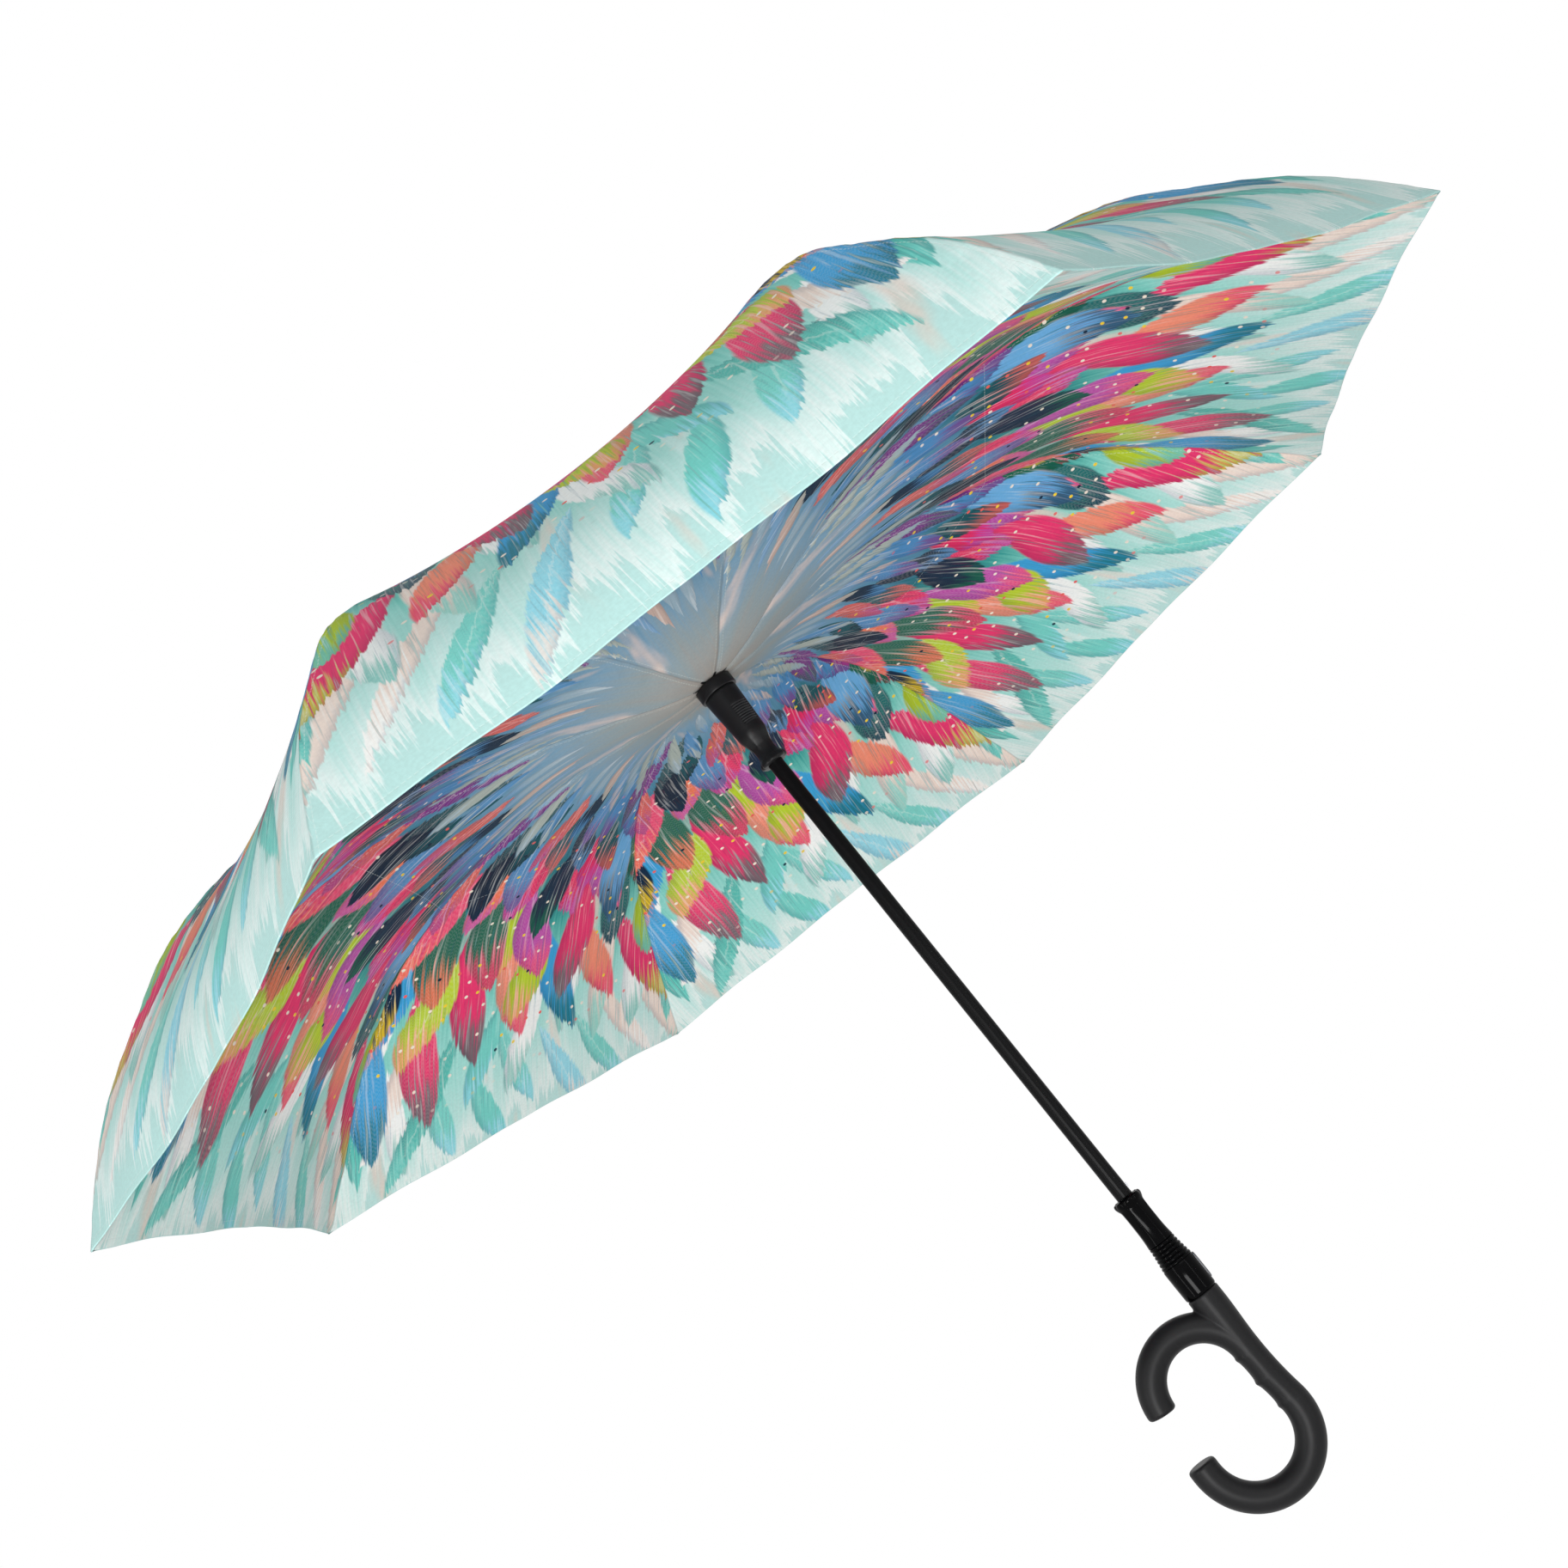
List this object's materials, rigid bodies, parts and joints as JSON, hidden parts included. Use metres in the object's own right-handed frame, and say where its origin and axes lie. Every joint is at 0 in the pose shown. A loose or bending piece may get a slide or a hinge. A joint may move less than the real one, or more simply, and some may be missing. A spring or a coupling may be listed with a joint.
{
  "type": "inverted umbrella",
  "caption": "Inverted folding umbrella, open: double canopy on curved ribs, sliding runner, tube shaft, push-button collar and C-shaped hook handle.",
  "frame": {"origin": "on the shaft's axis in the middle of the hand grip", "axes": "+Z along the shaft from the handle to the crown; the C handle lies in the XZ plane with its mouth towards -X, and the push button faces +X"},
  "size_m": [0.9794, 0.9794, 0.7576],
  "materials": {
    "soft_touch_grip": "soft-touch matte black",
    "gloss_collar": "glossy black",
    "black_plastic": "satin black moulding",
    "silver_button": "satin silver plating",
    "spring_steel": "bare spring steel",
    "shaft_coating": "satin black coated steel tube",
    "rib_steel": "black coated steel",
    "fibreglass": "black fibreglass rod",
    "outer_canopy_cloth": "printed pongee, outer layer",
    "inner_canopy_cloth": "printed pongee, inner layer"
  },
  "bodies": {
    "shaft_assembly": {"shaft": "shaft_coating", "crown_notch": "black_plastic", "crown_cap": "black_plastic", "handle": "soft_touch_grip", "handle_collar": "gloss_collar", "button_spring": "spring_steel", "opening_spring": "spring_steel"},
    "runner": {"runner": "black_plastic", "runner_notch": "black_plastic", "inner_canopy_ring": "black_plastic"},
    "push_button": {"push_button": "silver_button"},
    "runner_latch": {"runner_latch": "spring_steel"},
    "rib_1": {"rib_1": "rib_steel", "outer_canopy_1": "outer_canopy_cloth", "inner_canopy_1": "inner_canopy_cloth"},
    "outer_rib_1": {"outer_rib_1": "fibreglass", "rib_tip_1": "black_plastic"},
    "stretcher_1": {"stretcher_1": "rib_steel"},
    "rib_2": {"rib_2": "rib_steel", "outer_canopy_2": "outer_canopy_cloth", "inner_canopy_2": "inner_canopy_cloth"},
    "outer_rib_2": {"outer_rib_2": "fibreglass", "rib_tip_2": "black_plastic"},
    "stretcher_2": {"stretcher_2": "rib_steel"},
    "rib_3": {"rib_3": "rib_steel", "outer_canopy_3": "outer_canopy_cloth", "inner_canopy_3": "inner_canopy_cloth"},
    "outer_rib_3": {"outer_rib_3": "fibreglass", "rib_tip_3": "black_plastic"},
    "stretcher_3": {"stretcher_3": "rib_steel"},
    "rib_4": {"rib_4": "rib_steel", "outer_canopy_4": "outer_canopy_cloth", "inner_canopy_4": "inner_canopy_cloth"},
    "outer_rib_4": {"outer_rib_4": "fibreglass", "rib_tip_4": "black_plastic"},
    "stretcher_4": {"stretcher_4": "rib_steel"},
    "rib_5": {"rib_5": "rib_steel", "outer_canopy_5": "outer_canopy_cloth", "inner_canopy_5": "inner_canopy_cloth"},
    "outer_rib_5": {"outer_rib_5": "fibreglass", "rib_tip_5": "black_plastic"},
    "stretcher_5": {"stretcher_5": "rib_steel"},
    "rib_6": {"rib_6": "rib_steel", "outer_canopy_6": "outer_canopy_cloth", "inner_canopy_6": "inner_canopy_cloth"},
    "outer_rib_6": {"outer_rib_6": "fibreglass", "rib_tip_6": "black_plastic"},
    "stretcher_6": {"stretcher_6": "rib_steel"},
    "rib_7": {"rib_7": "rib_steel", "outer_canopy_7": "outer_canopy_cloth", "inner_canopy_7": "inner_canopy_cloth"},
    "outer_rib_7": {"outer_rib_7": "fibreglass", "rib_tip_7": "black_plastic"},
    "stretcher_7": {"stretcher_7": "rib_steel"},
    "rib_8": {"rib_8": "rib_steel", "outer_canopy_8": "outer_canopy_cloth", "inner_canopy_8": "inner_canopy_cloth"},
    "outer_rib_8": {"outer_rib_8": "fibreglass", "rib_tip_8": "black_plastic"},
    "stretcher_8": {"stretcher_8": "rib_steel"}
  },
  "joints": [
    {"name": "runner_slide", "type": "slide", "parent": "shaft_assembly", "child": "runner", "axis": [0, 0, 1], "range_m": [-0.361, 0], "stiffness_N_per_m": 60, "springref_m": 0.3, "deforming": ["outer_canopy_1", "inner_canopy_1", "outer_canopy_2", "inner_canopy_2", "outer_canopy_3", "inner_canopy_3", "outer_canopy_4", "inner_canopy_4", "outer_canopy_5", "inner_canopy_5", "outer_canopy_6", "inner_canopy_6", "outer_canopy_7", "inner_canopy_7", "outer_canopy_8", "inner_canopy_8", "opening_spring"]},
    {"name": "button_press", "type": "slide", "parent": "shaft_assembly", "child": "push_button", "axis": [-1, 0, 0], "range_m": [0, 0.0012], "stiffness_N_per_m": 900, "springref_m": -0.002, "deforming": ["button_spring"]},
    {"name": "latch_slide", "type": "slide", "parent": "shaft_assembly", "child": "runner_latch", "axis": [-1, 0, 0], "range_m": [0, 0.0013]},
    {"name": "rib_hinge_1", "type": "hinge", "parent": "runner", "child": "rib_1", "pos_m": [0.01109, 0.00459, 0.577], "axis": [0.3827, -0.9239, 0], "range_deg": [0, 73.6]},
    {"name": "rib_flex_1", "type": "hinge", "parent": "rib_1", "child": "outer_rib_1", "pos_m": [0.26146, 0.1083, 0.63708], "axis": [0.3827, -0.9239, 0], "range_deg": [0, 35.6]},
    {"name": "stretcher_hinge_1", "type": "hinge", "parent": "shaft_assembly", "child": "stretcher_1", "pos_m": [0.01109, 0.00459, 0.67703], "axis": [-0.3827, 0.9239, 0], "range_deg": [0, 73.6]},
    {"name": "rib_hinge_2", "type": "hinge", "parent": "runner", "child": "rib_2", "pos_m": [0.00459, 0.01109, 0.577], "axis": [0.9239, -0.3827, 0], "range_deg": [0, 73.6]},
    {"name": "rib_flex_2", "type": "hinge", "parent": "rib_2", "child": "outer_rib_2", "pos_m": [0.1083, 0.26146, 0.63708], "axis": [0.9239, -0.3827, 0], "range_deg": [0, 35.6]},
    {"name": "stretcher_hinge_2", "type": "hinge", "parent": "shaft_assembly", "child": "stretcher_2", "pos_m": [0.00459, 0.01109, 0.67703], "axis": [-0.9239, 0.3827, 0], "range_deg": [0, 73.6]},
    {"name": "rib_hinge_3", "type": "hinge", "parent": "runner", "child": "rib_3", "pos_m": [-0.00459, 0.01109, 0.577], "axis": [0.9239, 0.3827, 0], "range_deg": [0, 73.6]},
    {"name": "rib_flex_3", "type": "hinge", "parent": "rib_3", "child": "outer_rib_3", "pos_m": [-0.1083, 0.26146, 0.63708], "axis": [0.9239, 0.3827, 0], "range_deg": [0, 35.6]},
    {"name": "stretcher_hinge_3", "type": "hinge", "parent": "shaft_assembly", "child": "stretcher_3", "pos_m": [-0.00459, 0.01109, 0.67703], "axis": [-0.9239, -0.3827, 0], "range_deg": [0, 73.6]},
    {"name": "rib_hinge_4", "type": "hinge", "parent": "runner", "child": "rib_4", "pos_m": [-0.01109, 0.00459, 0.577], "axis": [0.3827, 0.9239, 0], "range_deg": [0, 73.6]},
    {"name": "rib_flex_4", "type": "hinge", "parent": "rib_4", "child": "outer_rib_4", "pos_m": [-0.26146, 0.1083, 0.63708], "axis": [0.3827, 0.9239, 0], "range_deg": [0, 35.6]},
    {"name": "stretcher_hinge_4", "type": "hinge", "parent": "shaft_assembly", "child": "stretcher_4", "pos_m": [-0.01109, 0.00459, 0.67703], "axis": [-0.3827, -0.9239, 0], "range_deg": [0, 73.6]},
    {"name": "rib_hinge_5", "type": "hinge", "parent": "runner", "child": "rib_5", "pos_m": [-0.01109, -0.00459, 0.577], "axis": [-0.3827, 0.9239, 0], "range_deg": [0, 73.6]},
    {"name": "rib_flex_5", "type": "hinge", "parent": "rib_5", "child": "outer_rib_5", "pos_m": [-0.26146, -0.1083, 0.63708], "axis": [-0.3827, 0.9239, 0], "range_deg": [0, 35.6]},
    {"name": "stretcher_hinge_5", "type": "hinge", "parent": "shaft_assembly", "child": "stretcher_5", "pos_m": [-0.01109, -0.00459, 0.67703], "axis": [0.3827, -0.9239, 0], "range_deg": [0, 73.6]},
    {"name": "rib_hinge_6", "type": "hinge", "parent": "runner", "child": "rib_6", "pos_m": [-0.00459, -0.01109, 0.577], "axis": [-0.9239, 0.3827, 0], "range_deg": [0, 73.6]},
    {"name": "rib_flex_6", "type": "hinge", "parent": "rib_6", "child": "outer_rib_6", "pos_m": [-0.1083, -0.26146, 0.63708], "axis": [-0.9239, 0.3827, 0], "range_deg": [0, 35.6]},
    {"name": "stretcher_hinge_6", "type": "hinge", "parent": "shaft_assembly", "child": "stretcher_6", "pos_m": [-0.00459, -0.01109, 0.67703], "axis": [0.9239, -0.3827, 0], "range_deg": [0, 73.6]},
    {"name": "rib_hinge_7", "type": "hinge", "parent": "runner", "child": "rib_7", "pos_m": [0.00459, -0.01109, 0.577], "axis": [-0.9239, -0.3827, 0], "range_deg": [0, 73.6]},
    {"name": "rib_flex_7", "type": "hinge", "parent": "rib_7", "child": "outer_rib_7", "pos_m": [0.1083, -0.26146, 0.63708], "axis": [-0.9239, -0.3827, 0], "range_deg": [0, 35.6]},
    {"name": "stretcher_hinge_7", "type": "hinge", "parent": "shaft_assembly", "child": "stretcher_7", "pos_m": [0.00459, -0.01109, 0.67703], "axis": [0.9239, 0.3827, 0], "range_deg": [0, 73.6]},
    {"name": "rib_hinge_8", "type": "hinge", "parent": "runner", "child": "rib_8", "pos_m": [0.01109, -0.00459, 0.577], "axis": [-0.3827, -0.9239, 0], "range_deg": [0, 73.6]},
    {"name": "rib_flex_8", "type": "hinge", "parent": "rib_8", "child": "outer_rib_8", "pos_m": [0.26146, -0.1083, 0.63708], "axis": [-0.3827, -0.9239, 0], "range_deg": [0, 35.6]},
    {"name": "stretcher_hinge_8", "type": "hinge", "parent": "shaft_assembly", "child": "stretcher_8", "pos_m": [0.01109, -0.00459, 0.67703], "axis": [0.3827, 0.9239, 0], "range_deg": [0, 73.6]}
  ],
  "couplings": [
    {"joint": "latch_slide", "follows": "button_press", "ratio": 1},
    {"joint": "rib_hinge_1", "follows": "runner_slide", "rad_per_m": -3.5535},
    {"joint": "rib_flex_1", "follows": "runner_slide", "rad_per_m": -1.7163},
    {"joint": "stretcher_hinge_1", "follows": "runner_slide", "rad_per_m": -3.5535},
    {"joint": "rib_hinge_2", "follows": "runner_slide", "rad_per_m": -3.5535},
    {"joint": "rib_flex_2", "follows": "runner_slide", "rad_per_m": -1.7163},
    {"joint": "stretcher_hinge_2", "follows": "runner_slide", "rad_per_m": -3.5535},
    {"joint": "rib_hinge_3", "follows": "runner_slide", "rad_per_m": -3.5535},
    {"joint": "rib_flex_3", "follows": "runner_slide", "rad_per_m": -1.7163},
    {"joint": "stretcher_hinge_3", "follows": "runner_slide", "rad_per_m": -3.5535},
    {"joint": "rib_hinge_4", "follows": "runner_slide", "rad_per_m": -3.5535},
    {"joint": "rib_flex_4", "follows": "runner_slide", "rad_per_m": -1.7163},
    {"joint": "stretcher_hinge_4", "follows": "runner_slide", "rad_per_m": -3.5535},
    {"joint": "rib_hinge_5", "follows": "runner_slide", "rad_per_m": -3.5535},
    {"joint": "rib_flex_5", "follows": "runner_slide", "rad_per_m": -1.7163},
    {"joint": "stretcher_hinge_5", "follows": "runner_slide", "rad_per_m": -3.5535},
    {"joint": "rib_hinge_6", "follows": "runner_slide", "rad_per_m": -3.5535},
    {"joint": "rib_flex_6", "follows": "runner_slide", "rad_per_m": -1.7163},
    {"joint": "stretcher_hinge_6", "follows": "runner_slide", "rad_per_m": -3.5535},
    {"joint": "rib_hinge_7", "follows": "runner_slide", "rad_per_m": -3.5535},
    {"joint": "rib_flex_7", "follows": "runner_slide", "rad_per_m": -1.7163},
    {"joint": "stretcher_hinge_7", "follows": "runner_slide", "rad_per_m": -3.5535},
    {"joint": "rib_hinge_8", "follows": "runner_slide", "rad_per_m": -3.5535},
    {"joint": "rib_flex_8", "follows": "runner_slide", "rad_per_m": -1.7163},
    {"joint": "stretcher_hinge_8", "follows": "runner_slide", "rad_per_m": -3.5535}
  ]
}
